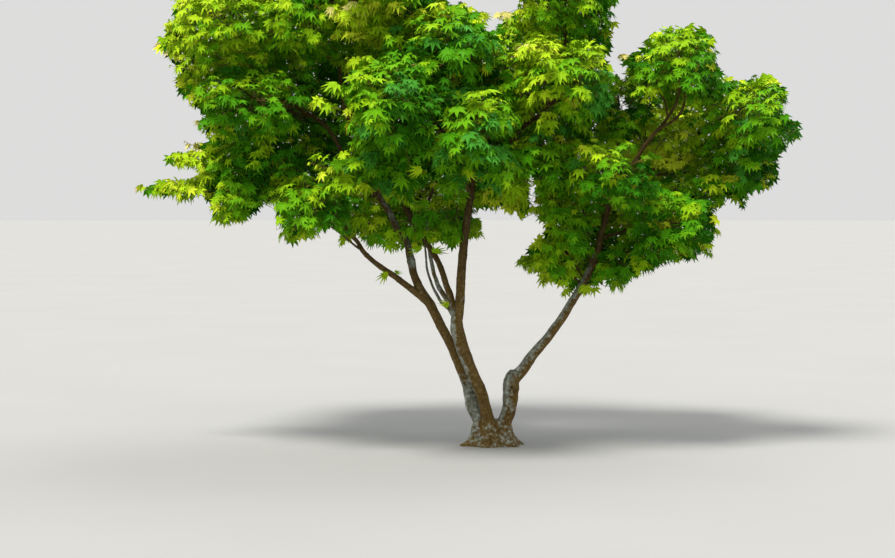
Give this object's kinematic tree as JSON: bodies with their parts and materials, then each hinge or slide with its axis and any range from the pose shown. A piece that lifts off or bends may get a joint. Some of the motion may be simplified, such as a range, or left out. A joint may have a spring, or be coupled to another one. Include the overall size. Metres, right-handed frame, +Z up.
{
  "type": "japanese maple tree",
  "caption": "Young garden maple in spring leaf: leaning stems from one root crown, forked boughs, and layered masses of small lobed leaves. Rooted in level ground.",
  "frame": {"origin": "middle of the flat cut at ground level under the root crown", "axes": "+Z up, +X to the right of the side the picture shows, +Y away from that side"},
  "size_m": [2.0254, 1.5344, 1.5803],
  "materials": {
    "bark_brown": "thin smooth brown bark with fine lengthwise streaks and small warts, satin",
    "bark_grey": "smooth bark under pale grey-green lichen with whitish specks, matt",
    "leaves": "thin soft lobed leaves, yellow-green outside and deep green inside, satin"
  },
  "bodies": {
    "root": {"root_crown": "bark_grey", "stem_left": "bark_brown", "bough_left_upright": "bark_brown", "bough_left_low": "bark_brown", "stem_middle": "bark_brown", "bough_middle_upright": "bark_brown", "bough_middle_left": "bark_brown", "bough_pale": "bark_grey", "bough_slender": "bark_brown", "stem_right_foot": "bark_grey", "stem_right": "bark_grey", "bough_left_reach": "bark_brown", "bough_left_upper": "bark_brown", "bough_right_upper": "bark_brown", "bough_right_fork": "bark_brown", "leaves_left_top": "leaves", "leaves_left_crest": "leaves", "leaves_left_middle": "leaves", "leaves_left_tier": "leaves", "leaves_left_tip": "leaves", "leaves_left_spray": "leaves", "leaves_left_hanging": "leaves", "leaves_left_inner": "leaves", "leaves_left_back": "leaves", "leaves_left_back_top": "leaves", "leaves_middle_top": "leaves", "leaves_middle_shoulder": "leaves", "leaves_middle_front": "leaves", "leaves_middle_low": "leaves", "leaves_middle_skirt": "leaves", "leaves_middle_under": "leaves", "leaves_middle_behind": "leaves", "leaves_middle_back": "leaves", "leaves_middle_back_top": "leaves", "leaves_centre_top": "leaves", "leaves_centre_middle": "leaves", "leaves_centre_low": "leaves", "leaves_centre_back": "leaves", "leaves_right_link": "leaves", "leaves_right_top": "leaves", "leaves_right_outer": "leaves", "leaves_right_outer_low": "leaves", "leaves_right_inner": "leaves", "leaves_right_front": "leaves", "leaves_right_low": "leaves", "leaves_right_skirt": "leaves", "leaves_right_under": "leaves", "leaves_right_bottom": "leaves", "leaves_right_back": "leaves"}
  },
  "joints": []
}
